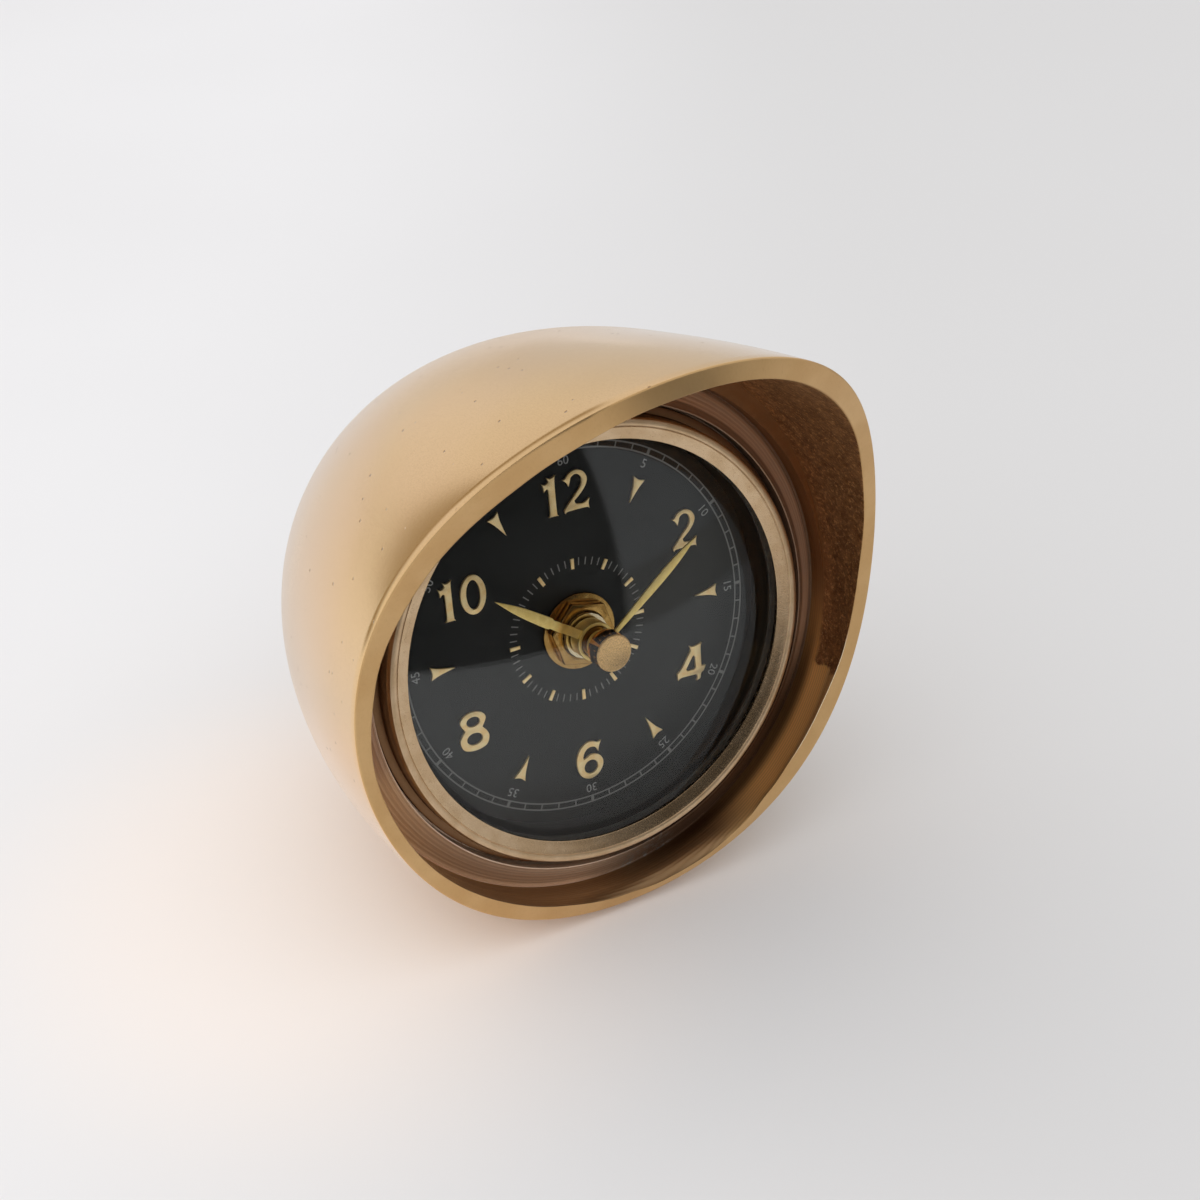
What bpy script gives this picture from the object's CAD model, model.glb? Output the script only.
from math import atan2, cos, hypot, pi, radians, sin, sqrt, tau

import bmesh
import bpy
from bmesh.types import BMEdge, BMFace, BMVert
from mathutils import Matrix, Vector


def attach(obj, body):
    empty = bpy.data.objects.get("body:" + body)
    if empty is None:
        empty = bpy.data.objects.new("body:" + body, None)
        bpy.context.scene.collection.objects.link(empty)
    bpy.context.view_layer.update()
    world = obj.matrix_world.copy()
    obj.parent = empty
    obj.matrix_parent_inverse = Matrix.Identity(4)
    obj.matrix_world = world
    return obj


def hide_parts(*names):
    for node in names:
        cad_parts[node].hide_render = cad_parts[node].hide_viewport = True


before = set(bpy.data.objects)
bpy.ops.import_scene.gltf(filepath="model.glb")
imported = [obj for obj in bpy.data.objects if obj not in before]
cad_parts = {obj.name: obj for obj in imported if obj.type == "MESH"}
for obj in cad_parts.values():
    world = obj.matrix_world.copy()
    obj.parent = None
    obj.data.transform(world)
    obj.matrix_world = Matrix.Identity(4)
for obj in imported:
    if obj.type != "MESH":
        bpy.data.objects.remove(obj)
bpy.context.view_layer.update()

scene = bpy.context.scene
scene.view_settings.view_transform = "Standard"

# The dial's own frame in millimetres: x to 3 o'clock, y to 12 o'clock, z out of the dial.
dial_lean = 8.8
dial_turn = radians(90 - dial_lean)
dial_middle = Vector((0, -13.581, 47.6))
dial_frame = (
    Matrix.Scale(0.001, 4)
    @ Matrix.Translation(dial_middle)
    @ Matrix.Rotation(dial_turn, 4, "X")
)


# Materials

class Value:
    """A number, colour or vector in a material. Arithmetic on it adds Math nodes."""

    def __init__(self, nodes, socket):
        self.nodes = nodes
        self.socket = socket

    def math(self, operation, *values):
        return self.nodes.add("Math", values, operation=operation)

    def __add__(self, other):
        return self.math("ADD", self, other)

    def __sub__(self, other):
        return self.math("SUBTRACT", self, other)

    def __rsub__(self, other):
        return self.math("SUBTRACT", other, self)

    def __mul__(self, other):
        return self.math("MULTIPLY", self, other)

    def __truediv__(self, other):
        return self.math("DIVIDE", self, other)

    def __abs__(self):
        return self.math("ABSOLUTE", self)

    __radd__ = __add__
    __rmul__ = __mul__

    def sine(self):
        return self.math("SINE", self)

    def fraction(self):
        return self.math("FRACT", self)

    def root(self):
        return self.math("SQRT", self)

    def or_more(self, other):
        return self.math("MAXIMUM", self, other)

    def ramp(self, low, high, start=0.0, end=1.0):
        """start where this is low, end where it is high, smooth between."""
        return self.nodes.add(
            "MapRange",
            {"Value": self, "From Min": low, "From Max": high, "To Min": start, "To Max": end},
            interpolation_type="SMOOTHSTEP",
        )

    def fall(self, low, high):
        """1 where this is low, 0 where it is high."""
        return self.ramp(low, high, 1.0, 0.0)

    def tones(self, first, second, low=0.3, high=0.7):
        """A colour that goes from the first to the second, each 0 to 255, as this rises."""
        return self.nodes.blend(self.ramp(low, high), rgb(*first), rgb(*second))

    def tinted(self, share, *tone):
        """This colour, moved by a share towards a red, green and blue from 0 to 255."""
        return self.nodes.blend(share, self, rgb(*tone))

    def within(self, middle, half_width, soft):
        """1 where this is within half_width of middle, 0 outside."""
        return abs(self - middle).fall(half_width - soft / 2, half_width + soft / 2)


class Nodes:
    """A node tree, and one way to add a node to it."""

    def __init__(self, tree):
        self.tree = tree

    def add(self, kind, inputs=(), output=0, **settings):
        node = self.tree.nodes.new("ShaderNode" + kind)
        for name, setting in settings.items():
            setattr(node, name, setting)
        pairs = inputs.items() if isinstance(inputs, dict) else enumerate(inputs)
        for key, value in pairs:
            self.feed(node.inputs[key], value)
        return Value(self, node.outputs[output])

    def feed(self, socket, value):
        if isinstance(value, Value):
            self.tree.links.new(value.socket, socket)
        else:
            socket.default_value = value

    def place(self):
        """The point on the piece, in millimetres in the row's frame."""
        point = self.add("TexCoord", output="Object")
        return self.add("VectorMath", {0: point, "Scale": 1000}, operation="SCALE")

    def dial_place(self):
        """The point on the piece, in millimetres in the dial's frame."""
        back = Matrix.Rotation(-dial_turn, 3, "X")
        return self.add("Mapping", {
            "Vector": self.add("TexCoord", output="Object"),
            "Location": -(back @ dial_middle),
            "Rotation": (-dial_turn, 0, 0),
            "Scale": (1000, 1000, 1000),
        })

    def part(self, vector, axis):
        """X, Y or Z of a vector."""
        return self.add("SeparateXYZ", (vector,), output=axis)

    def parts(self, vector, axes="XYZ"):
        return [self.part(vector, axis) for axis in axes]

    def stretched(self, vector, x, y, z):
        return self.add("VectorMath", (vector, (x, y, z)), operation="MULTIPLY")

    def noise(self, vector, scale, detail=2.0, roughness=0.5):
        return self.add("TexNoise", {
            "Vector": vector, "Scale": scale, "Detail": detail, "Roughness": roughness,
        })

    def cells(self, vector, scale):
        """Distance to the nearest of scattered points."""
        return self.add("TexVoronoi", {"Vector": vector, "Scale": scale})

    def near(self, point, place, reach):
        """1 at a place, 0 from reach outwards."""
        distance = self.add("VectorMath", (point, place), output=1, operation="DISTANCE")
        return distance.fall(reach * 0.4, reach)

    def towards(self, direction, azimuth, elevation, core, edge):
        """1 where a direction is within core degrees of the given one, 0 beyond edge degrees."""
        aim = (
            sin(radians(azimuth)) * cos(radians(elevation)),
            -cos(radians(azimuth)) * cos(radians(elevation)),
            sin(radians(elevation)),
        )
        likeness = self.add("VectorMath", (direction, aim), output=1, operation="DOT_PRODUCT")
        return likeness.ramp(cos(radians(edge)), cos(radians(core)))

    def blend(self, share, first, second):
        """Colours: first where share is 0, second where it is 1."""
        return self.add("Mix", {0: share, 6: first, 7: second}, output=2, data_type="RGBA")

    def show(self, shader):
        """Makes a shader the one that the surface shows."""
        self.tree.links.new(shader.socket, self.tree.nodes["Material Output"].inputs["Surface"])


class Finish(Nodes):
    """A material of one shader. Fixed values go on its sockets, varying ones through paint."""

    def __init__(self, name, **values):
        self.material = bpy.data.materials.new(name)
        self.material.use_nodes = True
        super().__init__(self.material.node_tree)
        self.shader = self.tree.nodes["Principled BSDF"]
        self.paint(**values)

    def paint(self, relief=None, **values):
        """Feeds the shader; relief is a height in millimetres. Gives back the material."""
        if relief is not None:
            values["Normal"] = self.add("Bump", {"Height": relief, "Strength": 1.0, "Distance": 0.001})
        for name, value in values.items():
            self.feed(self.shader.inputs[name.replace("_", " ")], value)
        return self.material


def rgb(red, green, blue):
    """A linear colour from the 0 to 255 values that it should show as."""
    def linear(value):
        share = value / 255
        return share / 12.92 if share <= 0.04045 else ((share + 0.055) / 1.055) ** 2.4
    return (linear(red), linear(green), linear(blue), 1.0)


def clock_turn(x, y):
    """Angle clockwise from 12, in turns."""
    return x.math("ARCTAN2", x, y) / tau


def off_axis(x, y):
    """Distance from the dial's axis."""
    return (x * x + y * y).root()


def side_share(x, y, radius, clock_angle):
    """1 on the dial's side at this clock angle in degrees, -1 on the far side."""
    turn = radians(clock_angle)
    return (x * sin(turn) + y * cos(turn)) / radius


def from_tick(angle, count):
    """How far an angle is from the nearest of count even ticks, in turns."""
    return abs((angle * count + count + 0.5).fraction() - 0.5) / count


def cast_outside():
    """Satin outside of the cast body: rubbed smooth, with a few small pits left."""
    finish = Finish("satin_casting", Metallic=1.0)
    point = finish.place()
    cloud = finish.noise(point, 0.03, 3.0)
    blush = finish.noise(point, 0.021, 2.0).ramp(0.45, 0.7)
    grain = finish.noise(finish.stretched(point, 2.0, 0.6, 2.0), 2.4, 3.0, 0.6)
    fine = finish.noise(point, 5.0, 2.0, 0.7)
    pits = finish.cells(point, 0.34).fall(0.045, 0.1)
    pits = pits * finish.noise(point, 0.1).ramp(0.4, 0.5)
    slant = finish.add("LayerWeight", {"Blend": 0.5}, output="Facing")
    y, z = finish.parts(point, "YZ")
    pale = slant.ramp(0.5, 1.0) * z.ramp(72.0, 98.0, 0.75, 0.4)
    pale_tone = z.tones((252, 242, 230), (216, 199, 183), 22.0, 50.0)
    tone = cloud.tones((234, 196, 140), (240, 202, 146), 0.35, 0.65)
    tone = tone.tinted(blush * 0.4, 240, 200, 160)
    tone = tone.tinted(grain.ramp(0.4, 0.7) * 0.14, 196, 152, 104)
    tone = finish.blend(pale, tone, pale_tone)
    tone = tone.tinted(pits * 0.65, 126, 92, 60)
    return finish.paint(
        Base_Color=tone,
        Roughness=0.10 + 0.03 * cloud + 0.03 * grain + y.ramp(-24.0, 4.0, 0.0, 0.14),
        relief=grain * 0.002 + fine * 0.001 - pits * 0.10,
    )


# Place on the dial's frame and size of each nick in the filed rim.
rim_nicks = (
    ((24.2, -42.95, 8.2), 1.3), ((19.9, -44.3, 7.8), 1.0), ((15.8, -44.8, 7.6), 0.7),
    ((22.4, -43.6, 8.0), 0.8),
)


def rim_face(name, burr_share=0.0):
    """Filed edge of the hood, with a few silvery nicks low down and a bright burr on the right."""
    finish = Finish(name, Metallic=1.0)
    point = finish.dial_place()
    across = finish.noise(finish.stretched(point, 1.0, 0.5, 1.0), 3.0, 4.0, 0.7)
    mottle = finish.noise(point, 0.12, 3.0)
    tone = mottle.tones((210, 172, 119), (218, 182, 130), 0.35, 0.7)
    tone = tone.tinted(across.ramp(0.5, 0.8) * 0.2, 176, 136, 88)
    chips = sum((finish.near(point, *nick) for nick in rim_nicks), 0)
    chips = chips * across.ramp(0.45, 0.55)
    tone = tone.tinted(chips * 0.8, 196, 196, 200)
    x, y = finish.parts(point, "XY")
    burr = side_share(x, y, off_axis(x, y), 116).ramp(0.95, 0.98) * across.ramp(0.3, 0.4)
    tone = tone.tinted(burr * burr_share, 255, 240, 206)
    return finish.paint(
        Base_Color=tone,
        Roughness=0.46 + 0.08 * across,
        relief=across * 0.008 - chips * 0.15,
    )


def hood_inside():
    """Dark rough casting, smooth and turned where the cutter reached it."""
    finish = Finish("hood_inside", Metallic=1.0)
    point = finish.dial_place()
    x, y, z = finish.parts(point)
    angle, radius = clock_turn(x, y), off_axis(x, y)
    ragged = finish.noise(point, 0.55, 3.0, 0.7) * 7.0 - 3.5
    turned = (y + ragged * 0.5).fall(-15.6, -14.8)
    turned = turned.or_more((z + ragged * 0.1).fall(6.8, 8.2))
    ripples = finish.noise(point, 0.35, 3.0, 0.55)
    crust = finish.noise(point, 1.5, 4.0, 0.75)
    grains = finish.cells(point, 1.7).fall(0.06, 0.2)
    grains = grains * finish.noise(point, 0.14).ramp(0.45, 0.6)
    rough = ripples.tones((140, 98, 62), (176, 128, 84))
    rough = rough.tinted(crust.ramp(0.52, 0.64) * 0.65, 240, 186, 130)
    rough = rough.tinted(crust.fall(0.34, 0.48) * 0.5, 84, 54, 32)
    rough = rough.tinted(grains * 0.9, 255, 220, 170)
    wander = finish.noise(point, 0.3)
    ridges = (z * 11.0 + wander * 3.0).sine()
    drawn = finish.add("CombineXYZ", (angle * 7.0, z * 1.6, radius * 0.3))
    streaks = finish.noise(drawn, 1.0, 4.0, 0.65)
    bright = streaks.tones((200, 166, 120), (232, 198, 150))
    below = side_share(x, y, radius, 188).ramp(0.55, 0.95)
    bright = bright.tinted(below * 0.75, 140, 108, 78)
    lit = side_share(x, y, radius, 122).ramp(0.82, 0.97) * z.ramp(11.0, 12.5, 1.0, 0.5)
    bright = bright.tinted(lit, 255, 204, 134)
    bright = bright.tinted(ridges.ramp(-1.0, 1.0) * 0.2, 120, 84, 50)
    above = side_share(x, y, radius, 50).ramp(0.45, 0.8)
    bright = bright.tinted(above * 0.8, 136, 92, 56)
    tarnish = z.fall(5.2, 8.0) * side_share(x, y, radius, 135).ramp(0.75, 0.95)
    bright = bright.tinted(tarnish * 0.8, 84, 50, 26)
    return finish.paint(
        Base_Color=finish.blend(turned, rough, bright),
        Roughness=finish.add("Mix", {
            0: turned, 2: 0.6 - 0.1 * ripples, 3: 0.38 + 0.1 * streaks + 0.26 * lit,
        }),
        relief=(1 - turned) * (ripples * 0.3 + crust * 0.16 + grains * 0.1 - 0.23)
        + turned * (ridges * 0.008 + streaks * 0.02),
    )


def turned_seat():
    """Ledge and seat turned into the casting: fine rings, and grey grit caught below 6."""
    finish = Finish("turned_seat", Metallic=0.8)
    point = finish.dial_place()
    x, y, z = finish.parts(point)
    angle, radius = clock_turn(x, y), off_axis(x, y)
    wander = finish.noise(point, 0.5, 2.0)
    rings = (radius * 9.0 + wander * 1.2).sine()
    drawn = finish.add("CombineXYZ", (radius * 3.6, z * 3.6, angle * 3.0))
    coarse = finish.noise(drawn, 1.0, 3.0, 0.7)
    tone = coarse.tones((236, 204, 176), (255, 232, 208), 0.35, 0.65)
    tone = tone.tinted(rings.ramp(-1.0, 1.0) * 0.3, 176, 136, 106)
    lip = radius.fall(40.6, 41.2).or_more(radius.ramp(43.3, 43.9))
    lip = lip * side_share(x, y, radius, 60).ramp(-0.4, 0.2)
    tone = tone.tinted(lip * 0.75, 120, 84, 54)
    below = side_share(x, y, radius, 145).ramp(0.7, 0.95)
    tone = tone.tinted(below * 0.9, 92, 60, 36)
    grit = finish.noise(point, 0.9, 2.0).ramp(0.5, 0.62)
    grit = grit * finish.near(point, (7.0, -43.0, 5.0), 7.5)
    tone = tone.tinted(grit * 0.7, 150, 150, 148)
    return finish.paint(
        Base_Color=tone,
        Roughness=0.36 + 0.12 * coarse,
        relief=rings * 0.012 + coarse * 0.05 + grit * 0.05,
    )


def cast_hollow():
    """As-cast wall of the hidden hollow."""
    finish = Finish("cast_hollow", Metallic=1.0)
    point = finish.place()
    ripples = finish.noise(point, 0.5, 5.0, 0.65)
    return finish.paint(
        Base_Color=ripples.tones((110, 74, 42), (170, 122, 76)),
        Roughness=0.5 + 0.15 * ripples,
        relief=ripples * 0.6,
    )


def pale_bezel():
    """Pale plated brass of the bezel, faintly speckled."""
    finish = Finish("pale_bezel", Metallic=1.0)
    point = finish.dial_place()
    speckle = finish.noise(point, 3.2, 3.0, 0.7)
    mottle = finish.noise(point, 0.3, 2.0)
    tone = mottle.tones((218, 190, 154), (204, 174, 136))
    tone = tone.tinted(speckle.ramp(0.56, 0.72) * 0.35, 146, 114, 82)
    x, y, z = finish.parts(point)
    radius = off_axis(x, y)
    tarnish = z.fall(5.6, 7.2)
    tone = tone.tinted(tarnish * 0.9, 112, 78, 50)
    slope = radius.fall(36.1, 36.3)
    dull = slope * side_share(x, y, radius, 140).ramp(0.1, 0.8)
    tone = tone.tinted(dull * 0.3, 140, 108, 72)
    return finish.paint(
        Base_Color=tone,
        Roughness=0.3 + 0.12 * speckle - 0.1 * slope,
        relief=speckle * 0.012,
    )


def printed_dial():
    """Black dial with a printed minute track and a ring of fine ticks."""
    finish = Finish("printed_dial", Specular_IOR_Level=0.2)
    point = finish.dial_place()
    x, y, z = finish.parts(point)
    angle, radius = clock_turn(x, y), off_axis(x, y)
    minute = from_tick(angle, 60) * tau * radius
    five = from_tick(angle, 12) * tau * radius
    in_track = radius.within(31.45, 0.55, 0.08)
    lines = radius.within(30.9, 0.12, 0.06) + radius.within(32.0, 0.12, 0.06)
    crosses = in_track * (minute.within(0, 0.12, 0.06) + five.within(0, 0.26, 0.08))
    in_ring = radius.within(11.9, 0.65, 0.08)
    fine_ticks = in_ring * minute.within(0, 0.09, 0.06)
    in_front = z.ramp(-0.2, -0.1)
    ink = finish.add("Math", (lines + crosses + fine_ticks,), operation="MINIMUM") * in_front
    dust = finish.cells(point, 0.55).fall(0.03, 0.06)
    dust = dust * finish.noise(point, 0.3).ramp(0.55, 0.65)
    tone = finish.blend(ink, rgb(24, 24, 23), rgb(150, 147, 144))
    tone = tone.tinted(dust * 0.25, 150, 140, 128)
    return finish.paint(Base_Color=tone, Roughness=0.34 + 0.1 * ink + 0.04 * finish.noise(point, 0.4))


def grey_ink():
    """Worn grey print of the minute figures."""
    finish = Finish("grey_ink", Roughness=0.4)
    point = finish.dial_place()
    worn = finish.noise(point, 2.0, 3.0).ramp(0.3, 0.7)
    return finish.paint(Base_Color=finish.blend(worn, rgb(112, 110, 109), rgb(142, 140, 138)))


def polished_brass(name, light, dark, roughness, wear, metal=1.0):
    """Small bright brass pieces: fine scratches over a smooth face."""
    finish = Finish(name, Metallic=metal)
    point = finish.dial_place()
    long_scratches = finish.noise(finish.stretched(point, 9.0, 1.2, 9.0), 1.0, 3.0, 0.6)
    mottle = finish.noise(point, 0.9, 3.0)
    tone = mottle.tones(light, dark)
    return finish.paint(
        Base_Color=tone,
        Roughness=roughness + 0.10 * long_scratches + 0.06 * mottle,
        relief=long_scratches * wear,
    )


def cap_finish():
    """Cap nut: mirror-like side, and a lighter end with fine scratches."""
    finish = Finish("cap_brass", Metallic=1.0)
    point = finish.dial_place()
    z = finish.part(point, "Z")
    face = z.ramp(11.8, 11.92)
    scratches = finish.noise(finish.stretched(point, 6.0, 1.5, 1.0), 2.0, 4.0, 0.7)
    spots = finish.cells(point, 1.6).fall(0.06, 0.14)
    tone = finish.blend(face, rgb(226, 164, 96), rgb(250, 210, 146))
    tone = tone.tinted(face * scratches.ramp(0.45, 0.6) * 0.7, 176, 122, 66)
    tone = tone.tinted(face * spots * 0.7, 130, 82, 44)
    return finish.paint(
        Base_Color=tone,
        Roughness=0.10 + face * (0.30 + 0.15 * scratches),
        relief=face * scratches * 0.05,
    )


def post_metal():
    """Movement case: black plastic behind the dial, threaded brass post in front."""
    finish = Finish("case_and_post")
    point = finish.dial_place()
    z = finish.part(point, "Z")
    in_front = z.ramp(-1.6, -1.5)
    thread = (z * (tau / 0.75)).sine()
    mottle = finish.noise(point, 2.0, 3.0, 0.6)
    tone = mottle.tones((30, 30, 32), (42, 42, 44))
    return finish.paint(
        Base_Color=finish.blend(in_front, tone, rgb(222, 204, 170)),
        Metallic=in_front,
        Roughness=finish.add("Mix", {0: in_front, 2: 0.42 + 0.1 * mottle, 3: 0.16}),
        relief=in_front * thread * 0.06 + mottle * 0.02,
    )


def hour_wheel_finish():
    """Pale plastic wheel with a brass tube up through the post."""
    finish = Finish("wheel_and_tube")
    point = finish.dial_place()
    z = finish.part(point, "Z")
    tube = z.ramp(-3.6, -3.5)
    mottle = finish.noise(point, 0.8, 3.0)
    tone = mottle.tones((214, 210, 200), (228, 224, 216))
    return finish.paint(
        Base_Color=finish.blend(tube, tone, rgb(222, 190, 132)),
        Metallic=tube,
        Roughness=0.35 - tube * 0.2 + 0.1 * mottle,
        relief=mottle * 0.01,
    )


def clear_glass():
    """Thin clear glass: light goes straight through, but for a faint sheen at a slant."""
    finish = Finish("clear_glass")
    finish.tree.nodes.remove(finish.shader)
    point = finish.dial_place()
    smear = finish.noise(point, 0.08, 3.0)
    slant = finish.add("LayerWeight", {"Blend": 0.5}, output="Facing")
    sheen = finish.add("BsdfGlossy", {
        "Color": (0.95, 0.97, 0.97, 1.0), "Roughness": 0.02 + 0.02 * smear,
    })
    through = finish.add("BsdfTransparent", {"Color": (0.97, 0.98, 0.975, 1.0)})
    finish.show(finish.add("MixShader", (0.028 + 0.06 * slant.ramp(0.5, 1.0), through, sheen)))
    return finish.material


def plain(name, light, dark, roughness, metal=0.0, scale=0.5, relief=0.01, **fixed):
    """A quiet surface: two close tones, slight relief and uneven gloss."""
    finish = Finish(name, Metallic=metal, **fixed)
    point = finish.place()
    mottle = finish.noise(point, scale, 3.0, 0.6)
    fine = finish.noise(point, scale * 9.0, 2.0, 0.6)
    return finish.paint(
        Base_Color=mottle.tones(light, dark),
        Roughness=roughness + 0.1 * mottle,
        relief=fine * relief,
    )


def wound_copper():
    """Turns of enamelled wire along the coil."""
    finish = Finish("wound_copper", Metallic=0.8)
    point = finish.dial_place()
    turns = (finish.part(point, "Y") * 28.0).sine()
    patch = finish.noise(point, 0.7, 2.0)
    return finish.paint(
        Base_Color=turns.tones((120, 52, 24), (204, 112, 62), -1.0, 1.0),
        Roughness=0.28 + 0.1 * patch,
        relief=turns * 0.05,
    )


def battery_jacket():
    """Silver jacket with a dark band towards the plus end, and no print."""
    finish = Finish("battery_jacket")
    point = finish.dial_place()
    x = finish.part(point, "X")
    band = x.ramp(8.8, 9.0)
    cap = x.ramp(24.2, 24.3).or_more(x.fall(-24.1, -24.0))
    scuffs = finish.noise(finish.stretched(point, 0.3, 2.0, 2.0), 1.0, 4.0, 0.7)
    tone = finish.blend(band, rgb(176, 178, 182), rgb(40, 42, 46))
    tone = tone.tinted(cap, 196, 198, 200)
    return finish.paint(
        Base_Color=tone,
        Metallic=0.35 + 0.6 * cap,
        Roughness=0.25 + 0.14 * scuffs,
        relief=scuffs * 0.01,
    )


outside_brass = cast_outside()
rim_brass = rim_face("filed_rim")
burr_brass = rim_face("rim_burr", 1.0)
inside_brass = hood_inside()
seat_brass = turned_seat()
hollow_brass = cast_hollow()
bezel_brass = pale_bezel()
dial_black = printed_dial()
ink = grey_ink()
raised_brass = polished_brass("raised_brass", (255, 228, 174), (252, 214, 150), 0.3, 0.01, 0.75)
bright_brass = polished_brass("bright_brass", (192, 154, 92), (176, 134, 72), 0.12, 0.008)
hand_brass = polished_brass("hand_brass", (244, 216, 140), (232, 200, 120), 0.3, 0.008, 0.85)
cap_brass = cap_finish()
glass = clear_glass()
spacer_black = plain("spacer_black", (11, 11, 11), (16, 15, 14), 0.32, relief=0.0005,
                     Specular_IOR_Level=0.2)
seal_rubber = plain("seal_rubber", (38, 37, 36), (52, 50, 48), 0.7, scale=1.2, relief=0.05)
post_and_case = post_metal()
wheel_and_tube = hour_wheel_finish()
case_plastic = plain("case_plastic", (30, 30, 32), (42, 42, 44), 0.42, scale=2.0, relief=0.03)
gear_plastic = plain("gear_plastic", (214, 210, 200), (228, 224, 216), 0.35, scale=0.8)
knob_plastic = plain("knob_plastic", (44, 44, 46), (58, 58, 60), 0.45, scale=1.5, relief=0.02)
plain_steel = plain("plain_steel", (170, 172, 174), (196, 198, 200), 0.26, 1.0, scale=1.5)
board_green = plain("board_green", (22, 92, 52), (30, 112, 62), 0.35, scale=1.0)
copper = wound_copper()
jacket = battery_jacket()


# Shaping

def mesh_from(bm, name):
    mesh = bpy.data.meshes.new(name)
    bm.to_mesh(mesh)
    bm.free()
    return mesh


def in_scene(name, data):
    """A new object of the scene."""
    thing = bpy.data.objects.new(name, data)
    scene.collection.objects.link(thing)
    return thing


def only(geometry, kind):
    """The verts, edges or faces among what an operator gives back."""
    return [g for g in geometry if isinstance(g, kind)]


def new_piece(name, bm, finishes, body, replaces=(), crease=32):
    """Makes a piece from a bmesh in the dial's frame, sets it in its place, hands it to its body."""
    bm.transform(dial_frame)
    bmesh.ops.recalc_face_normals(bm, faces=bm.faces)
    for face in bm.faces:
        face.smooth = True
    for edge in bm.edges:
        edge.smooth = len(edge.link_faces) == 2 and edge.calc_face_angle(0) < radians(crease)
    mesh = mesh_from(bm, name)
    for finish in finishes:
        mesh.materials.append(finish)
    piece = in_scene(name, mesh)
    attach(piece, body)
    if replaces:
        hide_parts(*replaces)
    return piece


def lathe(profile, steps=144):
    """Turns a closed or axis-to-axis [radius, z] profile about the z axis."""
    bm = bmesh.new()
    points = [bm.verts.new((radius, 0, z)) for radius, z in profile]
    edges = [bm.edges.new(pair) for pair in zip(points, points[1:])]
    if profile[0][0] > 0 or profile[-1][0] > 0:
        edges.append(bm.edges.new((points[-1], points[0])))
    bmesh.ops.spin(
        bm, geom=points + edges, cent=(0, 0, 0), axis=(0, 0, 1), angle=tau, steps=steps,
        use_merge=True, use_duplicate=False,
    )
    bmesh.ops.remove_doubles(bm, verts=bm.verts, dist=1e-5)
    return bm


def rounded(profile, radius, steps=3):
    """Rounds every corner of a closed [radius, z] profile."""
    result = []
    count = len(profile)
    for i, (x, y) in enumerate(profile):
        here = Vector((x, y))
        back = Vector(profile[i - 1]) - here
        ahead = Vector(profile[(i + 1) % count]) - here
        reach = min(radius, back.length * 0.45, ahead.length * 0.45)
        start = here + back.normalized() * reach
        end = here + ahead.normalized() * reach
        for step in range(steps + 1):
            t = step / steps
            point = start.lerp(here, t).lerp(here.lerp(end, t), t)
            result.append((point.x, point.y))
    return result


def ring(inner, outer, low, high, edge, steps=144):
    """A flat ring with rounded edges."""
    corners = [(inner, low), (outer, low), (outer, high), (inner, high)]
    return lathe(rounded(corners, edge), steps)


def smooth_run(points, steps=5):
    """Points along a smooth curve through the given ones."""
    result = []
    count = len(points)
    for i in range(count - 1):
        p0 = Vector(points[max(i - 1, 0)])
        p1 = Vector(points[i])
        p2 = Vector(points[i + 1])
        p3 = Vector(points[min(i + 2, count - 1)])
        for step in range(1, steps + 1):
            t = step / steps
            v0 = (p2 - p0) / 2
            v1 = (p3 - p1) / 2
            result.append(
                (2 * p1 - 2 * p2 + v0 + v1) * t ** 3
                + (-3 * p1 + 3 * p2 - 2 * v0 - v1) * t ** 2 + v0 * t + p1
            )
    return result


def traced(*runs):
    """An outline of runs that meet at corners: a run of one point is straight, others are curves."""
    outline = []
    here = runs[-1][-1]
    for run in runs:
        outline += smooth_run([here] + run) if len(run) > 1 else [Vector(run[0])]
        here = run[-1]
    return outline


def oval(x, y, width, height, count=48):
    """An outline about a point, with half its width and half its height given."""
    turns = [tau * i / count for i in range(count)]
    return [Vector((x + width * cos(t), y + height * sin(t))) for t in turns]


def cut_out(outlines, thickness, edge, low=0.0):
    """A flat shape of the given outlines, with rounded edges, from low up by thickness."""
    curve = bpy.data.curves.new("outline", "CURVE")
    curve.dimensions = "2D"
    curve.fill_mode = "BOTH"
    curve.extrude = thickness / 2 - edge
    curve.bevel_depth = edge
    curve.offset = -edge
    curve.bevel_resolution = 2
    for outline in outlines:
        spline = curve.splines.new("POLY")
        spline.points.add(len(outline) - 1)
        for point, at in zip(spline.points, outline):
            point.co = (at.x, at.y, 0, 1)
        spline.use_cyclic_u = True
    return mesh_of(curve, low + thickness / 2)


def mesh_of(curve, lift):
    """The mesh of a curve or text, raised by lift; the curve itself isn't kept."""
    holder = in_scene("outline", curve)
    bpy.context.view_layer.update()
    mesh = bpy.data.meshes.new_from_object(holder.evaluated_get(bpy.context.evaluated_depsgraph_get()))
    bm = bmesh.new()
    bm.from_mesh(mesh)
    bmesh.ops.remove_doubles(bm, verts=bm.verts, dist=1e-4)
    bpy.data.objects.remove(holder)
    bpy.data.curves.remove(curve)
    bpy.data.meshes.remove(mesh)
    return moved(bm, 0, 0, lift)


def joined(*parts):
    """Several bmeshes in one."""
    whole = parts[0]
    for part in parts[1:]:
        mesh = mesh_from(part, "part")
        whole.from_mesh(mesh)
        bpy.data.meshes.remove(mesh)
    return whole


def turned_by(bm, angle):
    """Turned clockwise about the dial's axis."""
    bmesh.ops.rotate(bm, verts=bm.verts, cent=(0, 0, 0), matrix=Matrix.Rotation(-angle, 3, "Z"))
    return bm


def moved(bm, x, y, z=0.0):
    bmesh.ops.translate(bm, verts=bm.verts, vec=(x, y, z))
    return bm


# Cast body

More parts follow.
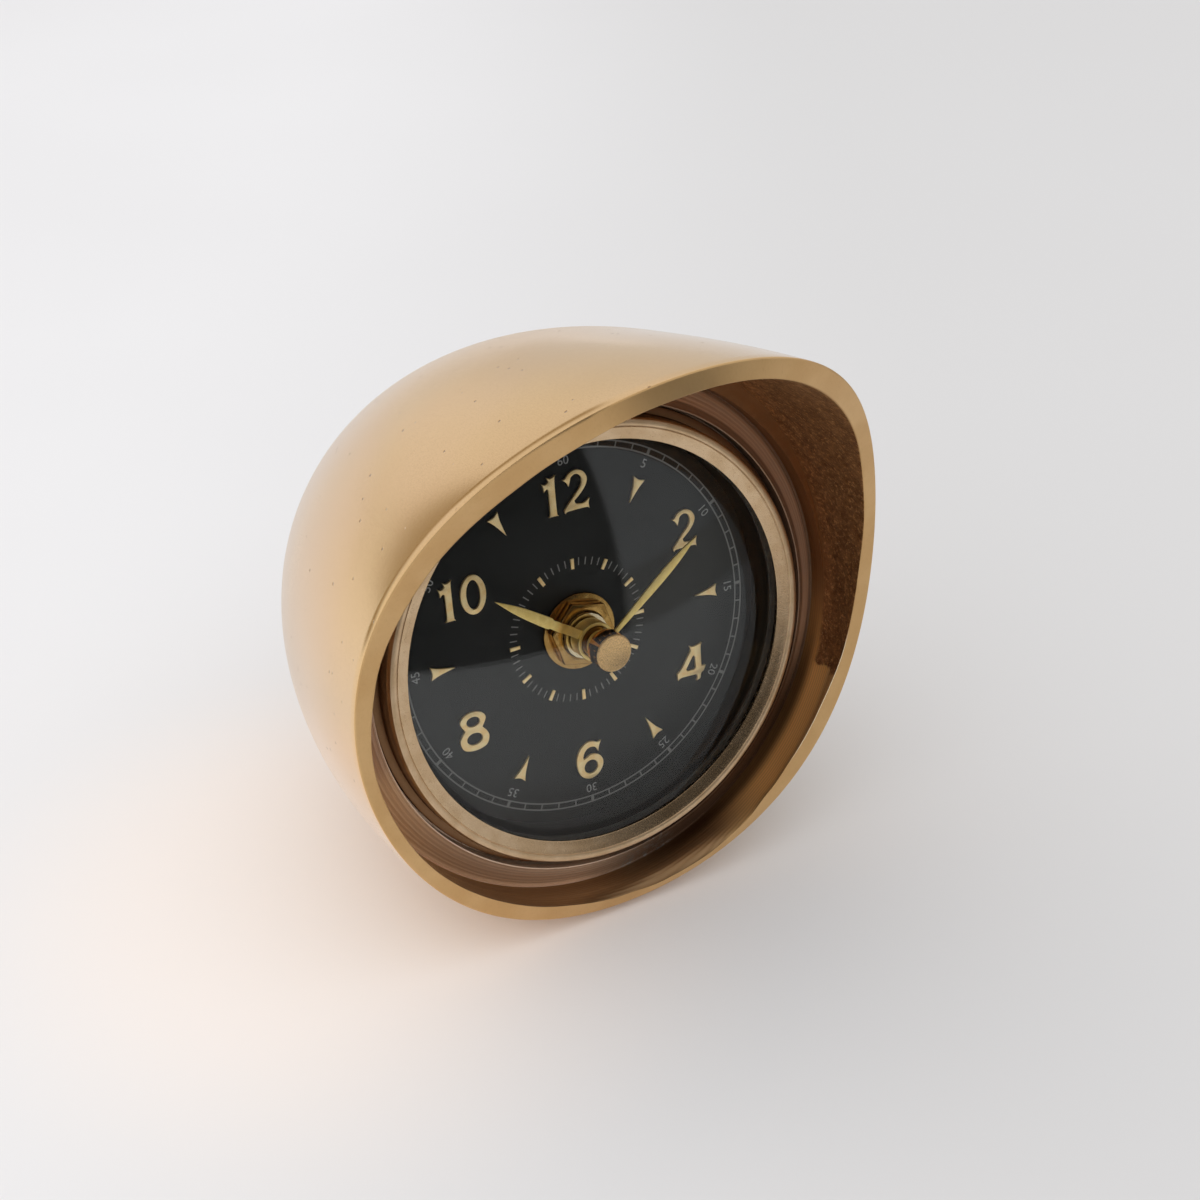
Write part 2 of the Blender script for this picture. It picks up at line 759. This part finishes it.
# The egg's half axes in millimetres, how full its two ends are, and where its middle lies.
body_size = dict(
    half_width=46.75, half_height=49.5, back=82.0, front=114.0, back_power=2.08, front_power=2.5,
    up=2.3, ahead=13.5, tilt=radians(6.9),
)
dome_end = -82.0
hollow_wall = (4.2, 4.2, 4.2)
hollow_end = -77.8
dome_rings = 72
hollow_rings = 20
seat_radius = 44.4
seat_profile = [
    (44.25, 3.42), (44.0, 3.6), (43.0, 4.33), (42.0, 5.06), (41.0, 5.78), (40.1, 6.44),
    (39.75, 6.66), (39.6, 6.62), (39.6, 6.2), (39.6, 4.0), (39.5, 3.8), (39.2, 3.74),
    (38.3, 3.74), (38.2, 3.6), (38.2, 0.0), (38.2, -5.8), (38.3, -6.0),
]
body_finishes = [outside_brass, rim_brass, inside_brass, seat_brass, hollow_brass, burr_brass]
outside, rim, inside, seat, back, burr = range(len(body_finishes))


def body_point(angle, along, inset_side=0.0, inset_top=None, inset_end=0.0):
    """A point of the body's skin, as the CAD has it."""
    size = body_size
    inset_top = inset_side if inset_top is None else inset_top
    length = (size["back"] if along < 0 else size["front"]) - inset_end
    power = size["back_power"] if along < 0 else size["front_power"]
    share = min(abs(along) / length, 1)
    scale = max(1 - share ** power, 0) ** (1 / power)
    across = (size["half_width"] - inset_side) * scale * sin(angle)
    rise = (size["half_height"] - inset_top) * scale * cos(angle)
    tilt = size["tilt"]
    y = size["up"] + rise * cos(tilt) + along * sin(tilt)
    z = size["ahead"] - rise * sin(tilt) + along * cos(tilt)
    return Vector((across, y, z))


def rim_ahead(y):
    """How far the rim's outer edge lies ahead of the dial at a height on it."""
    u = (y - 5) / 50
    return 18.0 + u * (12.2 + u * (13.3 + u * (6.9 - u * 2.4)))


def rim_step(y):
    """How much further ahead the rim's inner edge lies."""
    return 0.25 + 3.41 * max((y - 5) / 50, 0) ** 3


# How much thicker than the hood's wall its hand-filed rim is, by clock hour.
rim_extra = [
    (0, 0.5), (1, 1.15), (2, 0.45), (2.5, 0.3), (3, 0.75), (3.5, 0.75), (4, 1.35), (4.4, 1.25), (4.7, 0.65),
    (5, -0.5), (5.35, -1.1), (5.7, -1.0), (6, -0.35), (6.6, 0.4), (7, 0.5), (8, -0.05), (8.6, -0.1),
    (9.3, 0.7), (10, 1.5), (10.7, 1.9), (11, 1.6), (11.6, 0.7), (12, 0.5),
]


def hood_insets(angle, near_rim):
    """The insets of the hood's inner face, from its floor (0) to its rim (1)."""
    hour = angle / tau * 12 % 12
    spans = zip(rim_extra, rim_extra[1:])
    (low, first), (high, last) = next(pair for pair in spans if hour <= pair[1][0])
    share = (hour - low) / (high - low)
    extra = first + (last - first) * share * share * (3 - 2 * share)
    extra *= near_rim ** 2
    return 2.2 + extra, 2.5 + extra


def along_where(angle, surface, *insets):
    """Where the body's skin meets z = surface(y), found by halving."""
    low, high = -49.2, 102.6
    for _ in range(34):
        middle = (low + high) / 2
        point = body_point(angle, middle, *insets)
        if point.z > surface(point.y):
            high = middle
        else:
            low = middle
    return (low + high) / 2


def skin_rows():
    """Every ring of the body from the back, over the rim, and in to the back of the hollow.

    Each is a place by angle, and the finish of the strip that leads up to it."""
    outer_ends, inner_ends, floors, hollow_mouth = {}, {}, {}, {}

    def once(store, angle, *query):
        key = round(angle, 5)
        if key not in store:
            store[key] = along_where(angle, *query)
        return store[key]

    def outer(share):
        def place(angle):
            end = once(outer_ends, angle, rim_ahead)
            return body_point(angle, dome_end + (end - dome_end) * share)
        return place

    turned_radius = seat_radius + 0.05

    def inner(share):
        def place(angle):
            low = once(floors, angle, lambda y: 7.0, *hood_insets(angle, 0))
            high = once(inner_ends, angle, lambda y: rim_ahead(y) + rim_step(y), *hood_insets(angle, 1))
            point = body_point(angle, high + (low - high) * share, *hood_insets(angle, 1 - share))
            radius = hypot(point.x, point.y)
            turned = min(max((cos(angle) * seat_radius + 8.0) / -4.0, 0), 1)
            wanted = turned_radius + (radius - turned_radius) * (1 - share) ** 2
            keep = 1 + (wanted / radius - 1) * turned
            return Vector((point.x * keep, point.y * keep, point.z))
        return place

    def between(first, second, share):
        return lambda angle: first(angle).lerp(second(angle), share)

    def hollow(share):
        def place(angle):
            end = once(hollow_mouth, angle, lambda y: -6.0, *hollow_wall)
            return body_point(angle, hollow_end + (end - hollow_end) * share, *hollow_wall)
        return place

    def turned(radius, z):
        return lambda angle: Vector((radius * sin(angle), radius * cos(angle), z))

    edge_out, edge_in = outer(1.0), inner(0.0)
    rows = [(outer(1 - cos(i / dome_rings * pi / 2)), outside) for i in range(1, dome_rings)]
    rows.append((outer(0.997), outside))
    rows.append((between(outer(0.9985), edge_in, 0.012), outside))
    for share in (0.07, 0.13, 0.3, 0.5, 0.7, 0.9, 0.945):
        rows.append((between(edge_out, edge_in, share), rim))
    rows.append((between(inner(0.006), edge_out, 0.012), burr))
    for share in (0.012, 0.03, 0.06, 0.12, 0.2, 0.3, 0.4, 0.5, 0.6, 0.7, 0.8, 0.9, 0.96, 1.0):
        rows.append((inner(share), inside))
    rows.append((between(inner(1.0), turned(seat_radius, 7.0), 0.5), inside))
    rows.append((turned(seat_radius + 0.02, 7.0), inside))
    rows += [(turned(seat_radius, z), inside) for z in (6.5, 5.0, 3.7)]
    rows += [(turned(*corner), seat) for corner in seat_profile]
    rows.append((hollow(1.0), back))
    for i in range(hollow_rings - 1, 0, -1):
        rows.append((hollow(1 - cos(i / hollow_rings * pi / 2)), back))
    return rows


def cast_body(count=288):
    """Rings drawn from a circle and carried on edge by edge, closed at the two ends."""
    bm = bmesh.new()
    turn = bm.verts.layers.float.new("turn")
    circle = bmesh.ops.create_circle(bm, segments=count, radius=1.0)["verts"]
    for vertex in circle:
        vertex[turn] = atan2(vertex.co.x, vertex.co.y)
    edges = first_edges = list(bm.edges)
    for index, (place, finish) in enumerate(skin_rows()):
        if index:
            made = bmesh.ops.extrude_edge_only(bm, edges=edges)["geom"]
            edges = only(made, BMEdge)
            for face in only(made, BMFace):
                face.material_index = finish
        for vertex in {v for edge in edges for v in edge.verts}:
            vertex.co = place(vertex[turn])
    dome_tip = body_point(0, dome_end)
    hollow_tip = body_point(0, hollow_end, *hollow_wall)
    for loop, tip, finish in ((first_edges, dome_tip, outside), (edges, hollow_tip, back)):
        cap = bmesh.ops.extrude_edge_only(bm, edges=loop)["geom"]
        for face in only(cap, BMFace):
            face.material_index = finish
        bmesh.ops.pointmerge(bm, verts=only(cap, BMVert), merge_co=tip)
    bm.verts.layers.float.remove(turn)
    return bm


def flat_foot(bm):
    """Cuts the underside flat where the clock stands."""
    table = dial_frame.inverted()
    up = (table.to_3x3() @ Vector((0, 0, 1))).normalized()
    cut = bmesh.ops.bisect_plane(
        bm, geom=bm.verts[:] + bm.edges[:] + bm.faces[:], dist=1e-5,
        plane_co=table @ Vector((0, 0, 0)), plane_no=up, clear_inner=True,
    )["geom_cut"]
    bmesh.ops.edgeloop_fill(bm, edges=only(cut, BMEdge))
    return bm


new_piece("cast_body", flat_foot(cast_body()), body_finishes, "body", ["body_shell"],
          crease=40)


# Clock insert

insert = "clock_insert"
dial_edge = 35.3
lens_edge_low = 8.0

bezel_profile = [
    (34.1, 8.06), (34.1, 8.11), (34.16, 8.16), (34.3, 8.19), (35.3, 8.56), (36.0, 8.84),
    (36.12, 8.86), (36.2, 8.76), (36.28, 8.76), (36.36, 8.86), (36.55, 8.94), (37.0, 8.95),
    (37.35, 8.86), (37.58, 8.64), (37.7, 8.3), (37.72, 7.9), (37.72, 5.35), (37.82, 5.22),
    (38.9, 5.2), (39.12, 5.12),
    (39.2, 4.95), (39.2, 4.1), (39.05, 4.0), (36.5, 4.0), (36.4, 3.9), (36.4, -1.9),
    (36.3, -2.0), (35.65, -2.0), (35.6, -1.9), (35.6, 8.05), (35.5, 8.06),
]
new_piece("turned_bezel", lathe(bezel_profile, 240), [bezel_brass], insert,
          ["bezel_ring"], crease=28)


def lens_profile():
    """A dome that rises from the bezel's inner edge, 1.5 mm thick."""
    rise = 6.1
    curve = (34.1 ** 2 + rise ** 2) / (2 * rise)
    apex = lens_edge_low + rise
    radii = [dial_edge * i / 28 for i in range(29)]
    outer = [(r, apex - curve + sqrt(curve ** 2 - r ** 2)) for r in radii]
    inner = [(r, z - 1.5) for r, z in reversed(outer)]
    return outer + inner


new_piece("domed_glass", lathe(lens_profile(), 144), [glass], insert, ["glass_lens"])
new_piece("lens_seal", ring(34.2, dial_edge, 5.55, 5.95, 0.08), [seal_rubber], insert,
          ["lens_gasket"])
new_piece("inner_ring", ring(34.2, dial_edge, 0.1, 5.44, 0.12), [spacer_black], insert,
          ["dial_spacer"])
new_piece("dial_disc", ring(4.2, dial_edge, -1.0, 0.0, 0.06, 192), [dial_black], insert,
          ["dial_plate"])
new_piece("dial_clamp", ring(32.5, dial_edge, -2.0, -1.1, 0.12), [plain_steel], insert,
          ["dial_retainer"])
new_piece("grip_band", lathe(oval(37.05, -1.15, 0.55, 0.55, 16)), [seal_rubber], insert,
          ["grip_ring"])


# Numerals and marks

numeral_circle = 24.3
ten_circle = 22.8
raised_thickness = 0.45
raised_low = 0.05

digit_outlines = {
    "0": [oval(0, 0, 2.25, 3.35), oval(0, 0, 1.22, 2.5)],
    "1": [traced(
        [(0.3, 3.0), (1.25, 3.4)],
        [(1.02, 2.5), (1.0, -2.7), (1.25, -3.4)],
        [(-0.55, -3.4)],
        [(-0.2, -2.7), (-0.18, 1.2)],
        [(-0.5, 1.4), (-1.0, 0.95)],
        [(-1.02, 1.7), (-1.25, 2.4)],
        [(-0.7, 2.15), (-0.1, 2.6), (-0.35, 3.3)],
    )],
    "2": [traced(
        [(-1.8, 2.3), (-1.0, 3.12), (0.3, 3.46), (1.5, 2.95), (2.15, 1.8), (1.85, 0.6),
         (0.8, -0.65), (-0.4, -1.6)],
        [(-0.2, -2.15), (0.5, -2.32), (1.3, -2.35), (2.36, -1.75)],
        [(2.14, -2.6), (2.2, -3.46)],
        [(1.5, -3.2), (-1.7, -3.2), (-2.15, -3.5)],
        [(-2.3, -2.95), (-1.46, -1.92), (-0.1, -0.5), (0.9, 0.6), (1.18, 1.6),
         (0.9, 2.4), (0.1, 2.78), (-0.7, 2.4), (-0.92, 1.8), (-1.22, 0.92)],
        [(-1.6, 1.66), (-2.3, 2.25)],
    )],
    "4": [traced(
        [(0.78, 3.05), (2.42, 3.35)],
        [(2.08, 2.6), (2.04, -0.95)],
        [(2.88, -1.0)],
        [(2.5, -1.8), (1.9, -2.3), (1.64, -3.2), (0.88, -3.4)],
        [(1.16, -2.8), (0.98, -2.25)],
        [(-2.0, -2.08), (-2.78, -2.42)],
        [(-2.88, -1.13)],
        [(-2.0, -0.5), (-0.62, 1.45), (0.06, 2.5), (-0.12, 3.35)],
    ), traced(
        [(0.6, -1.22)],
        [(-0.85, -1.18)],
        [(-1.05, -0.75)],
        [(0.3, 1.2)],
        [(0.6, 1.38), (0.88, 1.0)],
        [(0.88, -0.95)],
    )],
    "6": [traced(
        [(1.7, 2.88), (0.94, 3.26), (-0.16, 3.37), (-1.46, 2.65), (-2.26, 1.4),
         (-2.52, -0.1), (-2.26, -1.7), (-1.56, -2.86), (-0.2, -3.45), (1.14, -3.15), (2.1, -2.25),
         (2.52, -1.08), (2.2, 0.05), (1.24, 0.8), (0.14, 0.9), (-0.86, 0.42), (-1.26, 0.6)],
        [(-1.06, 1.35), (-0.46, 2.12), (0.44, 2.36), (1.24, 2.02), (1.74, 1.18)],
        [(1.95, 2.15), (2.4, 3.05)],
    ), oval(0.14, -1.3, 1.3, 1.26)],
    "8": [traced(
        [(2.34, -0.6), (2.6, -1.64), (1.94, -2.98), (0, -3.45), (-1.94, -2.98),
         (-2.6, -1.64), (-2.34, -0.6), (-1.56, 0.42)],
        [(-2.32, 1.94), (-1.56, 3.05), (0, 3.45), (1.56, 3.05), (2.32, 1.94),
         (1.56, 0.42)],
    ), oval(0, 1.72, 1.2, 0.88), oval(0, -1.36, 1.4, 1.05)],
}


def digit(value):
    return cut_out(digit_outlines[value], raised_thickness, 0.07, raised_low)


# How far each glued numeral stands off its even place, to the right and up.
numeral_shift = {
    2: (0.22, 0.29), 4: (-0.08, -0.04), 6: (-0.1, 0.38), 8: (0.4, 0.15), 10: (-0.43, -0.05),
    12: (-0.42, -0.26),
}


def on_dial(hour, radius):
    right, up = numeral_shift[hour]
    return radius * sin(hour * pi / 6) + right, radius * cos(hour * pi / 6) + up


def raised(name, bm, *nodes):
    new_piece(name, bm, [raised_brass], insert, nodes, crease=50)


for hour in (2, 4, 6, 8):
    place = on_dial(hour, numeral_circle)
    raised(f"raised_{hour}", moved(digit(str(hour)), *place), f"numeral_{hour}")
for hour, radius in ((10, ten_circle), (12, numeral_circle)):
    x, y = on_dial(hour, radius)
    for value, shift, place in (("1", -2.65, "ten"), (str(hour - 10), 2.05, "unit")):
        raised(f"raised_{hour}_{place}", moved(digit(value), x + shift, y), f"numeral_{hour}_{place}")


def wedge_outline():
    """The mark at 12; its point looks to the middle."""
    side = smooth_run([(0, 22.6), (0.3, 24.2), (0.62, 25.6), (1.1, 26.9)], 4)
    end = smooth_run([(1.1, 26.9), (0, 26.65), (-1.1, 26.9)], 4)
    other = [Vector((-p.x, p.y)) for p in reversed(side[:-1])]
    return [Vector((0, 22.6))] + side + end + other


for hour in (1, 3, 5, 7, 9, 11):
    wedge = cut_out([wedge_outline()], raised_thickness, 0.06, raised_low)
    raised(f"wedge_{hour}", turned_by(wedge, hour * pi / 6), f"marker_{hour}")


def inner_bars():
    """Twelve small applied bars on the ring round the hands."""
    bar = [Vector(p) for p in ((-0.28, 10.8), (0.28, 10.8), (0.32, 12.6), (-0.32, 12.6))]
    bars = [turned_by(cut_out([bar], 0.2, 0.04, 0.0), hour * pi / 6) for hour in range(12)]
    return joined(*bars)


raised("hour_bars", inner_bars())


def small_figure(minute):
    """A printed minute figure with its top outwards."""
    text = bpy.data.curves.new("figure", "FONT")
    text.body = str(minute)
    text.size = 2.15
    text.align_x = "CENTER"
    text.align_y = "CENTER"
    text.resolution_u = 3
    bm = mesh_of(text, 0.012)
    return turned_by(moved(bm, 0, 29.3), minute * pi / 30)


new_piece("minute_figures", joined(*[small_figure(m) for m in range(5, 61, 5)]), [ink],
          insert)


# Post, nut and hands

post_radius = 4.0
nut_flats = 10.4
hour_plane = 6.5
minute_plane = 8.5
hand_thickness = 0.35


def hexagon_nut():
    bm = bmesh.new()
    bmesh.ops.create_circle(bm, segments=6, radius=nut_flats / sqrt(3))
    bmesh.ops.create_circle(bm, segments=48, radius=post_radius)
    bmesh.ops.triangle_fill(bm, use_beauty=True, edges=bm.edges[:])
    top = bmesh.ops.extrude_face_region(bm, geom=bm.faces[:])["geom"]
    bmesh.ops.translate(bm, verts=only(top, BMVert), vec=(0, 0, 1.6))
    bmesh.ops.recalc_face_normals(bm, faces=bm.faces)
    rims = [e for e in bm.edges if len(e.link_faces) == 2 and e.calc_face_angle(0) > radians(40)]
    bmesh.ops.bevel(bm, geom=rims, offset=0.22, offset_type="OFFSET", segments=3, profile=0.5,
                    affect="EDGES", clamp_overlap=True, material=-1)
    return turned_by(moved(bm, 0, 0, 0.8), -0.3)


def leaf_blade(length, width, root_width, root, widest, low):
    """A leaf-shaped hand lying along y, with a rounded edge; widest is a share of its length."""
    wide = length * widest
    half = width / 2
    start = Vector((root_width / 2, root))
    side = [start] + smooth_run([
        start, (half * 0.78, root + (wide - root) * 0.5), (half, wide),
        (half * 0.74, wide + (length - wide) * 0.55), (0.02, length),
    ], 8)
    other = [Vector((-p.x, p.y)) for p in reversed(side)]
    return cut_out([side + other], hand_thickness, 0.05, low)


def hour_hand():
    """A leaf, a crank down from it and a hub round the tube."""
    low = hour_plane - hand_thickness / 2
    leaf = leaf_blade(21.0, 1.9, 1.55, 8.6, 0.5, low)
    crank = bmesh.new()
    bmesh.ops.create_cube(crank, size=1.0)
    for vertex in crank.verts:
        vertex.co = Vector((vertex.co.x * 1.5, vertex.co.y + 0.5, vertex.co.z * 0.33 + 0.17))
    long_edges = [e for e in crank.edges if abs(e.verts[0].co.y - e.verts[1].co.y) > 0.5]
    bmesh.ops.subdivide_edges(crank, edges=long_edges, cuts=11)
    for vertex in crank.verts:
        vertex.co.y = 2.85 + vertex.co.y * 6.0
        t = min(max((vertex.co.y - 5.4) / 2.8, 0), 1)
        ease = t * t * (3 - 2 * t)
        vertex.co.z += low - 0.9 + 0.9 * ease
    hub = lathe(rounded([(2.72, 3.5), (3.3, 3.5), (3.3, 6.27), (2.72, 6.27)], 0.12), 72)
    return turned_by(joined(leaf, crank, hub), radians(304.4))


def minute_hand():
    low = minute_plane - hand_thickness / 2
    leaf = leaf_blade(23.3, 1.55, 0.65, 1.9, 0.64, low)
    hub = lathe(rounded([(1.5, 7.08), (2.35, 7.08), (2.35, 8.67), (1.5, 8.67)], 0.12), 72)
    return turned_by(joined(leaf, hub), radians(52.5))


cap_profile = [
    (0, 10.52), (1.5, 10.52), (1.5, 8.9), (1.6, 8.78), (2.85, 8.78), (3.1, 8.88), (3.2, 9.12),
    (3.2, 11.7), (3.17, 11.88), (3.08, 12.02), (2.92, 12.1), (2.8, 12.08), (2.6, 11.94), (0, 11.98),
]


new_piece("post_washer", ring(post_radius, 6.6, 0.1, 0.7, 0.12, 96), [bright_brass], insert,
          ["dial_washer"])
new_piece("post_nut", hexagon_nut(), [bright_brass], insert, ["hex_nut"], crease=25)
new_piece("hour_leaf", hour_hand(), [hand_brass], "hour_works", ["hour_hand"],
          crease=45)
new_piece("minute_leaf", minute_hand(), [hand_brass], "minute_works",
          ["minute_hand"], crease=45)
new_piece("hand_cap", lathe(cap_profile, 72), [cap_brass], "minute_works",
          ["cap_nut"], crease=45)


# Movement: the CAD solids with their own finishes

node_finishes = {
    "movement_case": post_and_case, "rear_cover": case_plastic, "middle_plate": gear_plastic,
    "rubber_washer": seal_rubber, "hour_wheel": wheel_and_tube, "minute_arbor": bright_brass,
    "minute_wheel": gear_plastic, "centre_wheel": gear_plastic, "third_wheel": gear_plastic,
    "seconds_wheel": gear_plastic, "rotor": plain_steel, "stator": plain_steel, "coil": copper,
    "circuit_board": board_green, "timing_crystal": plain_steel, "battery": jacket,
    "contact_plus": plain_steel, "contact_minus": plain_steel, "setting_knob": knob_plastic,
}
for node, finish in node_finishes.items():
    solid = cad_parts[node]
    solid.data.materials.clear()
    solid.data.materials.append(finish)


# Stage

olive_dusk = (0.33, 0.265, 0.155, 1.0)
# The point on the dome, in millimetres, that the camera sees the backdrop's edge in.
mirroring_point = (-44.0, -32.0, 60.0)


def past_backdrop(nodes, direction):
    """A narrow arc behind the clock on its left, where reflections see past the backdrop's edge."""
    def band(azimuth, elevation, inside, outside):
        """1 between two circles about a direction; each fades between two angles from it."""
        disc = nodes.towards(direction, azimuth, elevation, *outside)
        return disc - nodes.towards(direction, azimuth, elevation, *inside)

    side = band(-90.0, 30.5, (60.0, 68.0), (70.7, 72.3))
    above = band(176.2, -4.0, (25.2, 26.6), (29.0, 36.0))
    side = side * nodes.towards(direction, -152.0, 5.0, 18.0, 25.0)
    above = above * nodes.towards(direction, -171.0, 18.0, 13.0, 19.0)
    return side.or_more(above)


def pale_floor():
    """A pale sheet. Reflections see where it ends in front, and the room past it."""
    nodes = Finish("pale_floor", Roughness=0.85)
    point = nodes.place()
    x, y = nodes.parts(point, "XY")
    grain = nodes.noise(point, 0.004, 2.0)
    across = x * 0.866 - y * 0.5
    tone = across.tones((235, 234, 235), (217, 216, 216), -130.0, 110.0)
    glow = nodes.near(point, (-38.0, -2.0, 0.0), 80.0)
    tone = tone.tinted(glow * 0.55, 254, 242, 234)
    nodes.paint(Base_Color=nodes.blend(grain.ramp(0.3, 0.7) * 0.12, tone, rgb(212, 210, 210)))
    reflected = nodes.add("LightPath", output="Is Glossy Ray")
    past_edge = (y - (x - 29.0).or_more(0.0) * 0.562).fall(-306.0, -296.0)
    darker = (x + y * 0.554).fall(-16.0, -6.0)
    room = nodes.blend(darker, (0.46, 0.44, 0.42, 1.0), (0.010, 0.010, 0.011, 1.0))
    from_dome = nodes.add("VectorMath", (point, mirroring_point), operation="SUBTRACT")
    outwards = nodes.add("VectorMath", (from_dome,), operation="NORMALIZE")
    corner = past_backdrop(nodes, outwards)
    room = nodes.blend(corner, room, olive_dusk)
    dark = nodes.add("Emission", (room, 1.0))
    lit = Value(nodes, nodes.shader.outputs[0])
    nodes.show(nodes.add("MixShader", (reflected * past_edge.or_more(corner), lit, dark)))
    return nodes.material


def floor_sheet():
    bm = bmesh.new()
    bmesh.ops.create_grid(bm, x_segments=1, y_segments=1, size=6.0)
    mesh = mesh_from(bm, "floor")
    mesh.materials.append(pale_floor())
    sheet = in_scene("floor", mesh)


def studio_world():
    """Even pale light. Reflections also see a dark stretch in front and a dimmer room on the right."""
    world = bpy.data.worlds.new("studio")
    world.use_nodes = True
    scene.world = world
    nodes = Nodes(world.node_tree)
    direction = nodes.add("TexCoord", output="Generated")
    x, y, z = nodes.parts(direction)
    around = x.math("ARCTAN2", x, y * -1.0) * (180 / pi)
    bright = nodes.blend(z.ramp(0.15, 0.8), (0.80, 0.79, 0.78, 1.0), (0.74, 0.73, 0.72, 1.0))
    shade = around.ramp(-75.0, -45.0) * around.fall(28.3, 29.7)
    shade = shade * z.fall(0.4, 0.75)
    room = around.ramp(28.3, 29.7) * around.fall(70.0, 110.0)
    behind = nodes.towards(direction, 148.0, 0.0, 8.0, 32.0)
    glossy = nodes.blend(behind * 0.5, bright, (0.55, 0.53, 0.5, 1.0))
    glossy = nodes.blend(room * 0.9, glossy, (0.55, 0.55, 0.56, 1.0))
    glossy = nodes.blend(shade * 0.97, glossy, (0.01, 0.01, 0.01, 1.0))
    glossy = nodes.blend(past_backdrop(nodes, direction), glossy, olive_dusk)
    reflected = nodes.add("LightPath", output="Is Glossy Ray")
    window = nodes.towards(direction, -68.0, 42.0, 10.0, 105.0)
    lit = nodes.blend(window, (0.48, 0.48, 0.49, 1.0), (1.4, 1.4, 1.4, 1.0))
    tone = nodes.blend(reflected, lit, glossy)
    seen = nodes.add("LightPath", output="Is Camera Ray")
    tone = tone.tinted(seen, 232, 232, 234)
    background = world.node_tree.nodes["Background"]
    nodes.feed(background.inputs["Color"], tone)
    background.inputs["Strength"].default_value = 1.0


def soft_lamp(name, place, target, size, power):
    """A round lamp that gives light and isn't mirrored in the brass."""
    lamp = bpy.data.lights.new(name, "AREA")
    lamp.shape = "DISK"
    lamp.size = size
    lamp.energy = power
    holder = in_scene(name, lamp)
    holder.location = place
    holder.rotation_euler = (Vector(target) - Vector(place)).to_track_quat("-Z", "Y").to_euler()
    holder.visible_glossy = False


floor_sheet()
studio_world()
soft_lamp("key", (-0.95, -0.35, 1.0), (0, 0, 0.05), 1.5, 2.0)

camera = bpy.data.cameras.new("camera")
camera.sensor_width = 36.0
camera.lens = 56.26
camera.clip_start = 0.01
view = in_scene("camera", camera)
view.location = (-0.12888, -0.24365, 0.20761)
view.rotation_euler = (radians(90 - 30.34), 0, radians(-30.05))
scene.camera = view
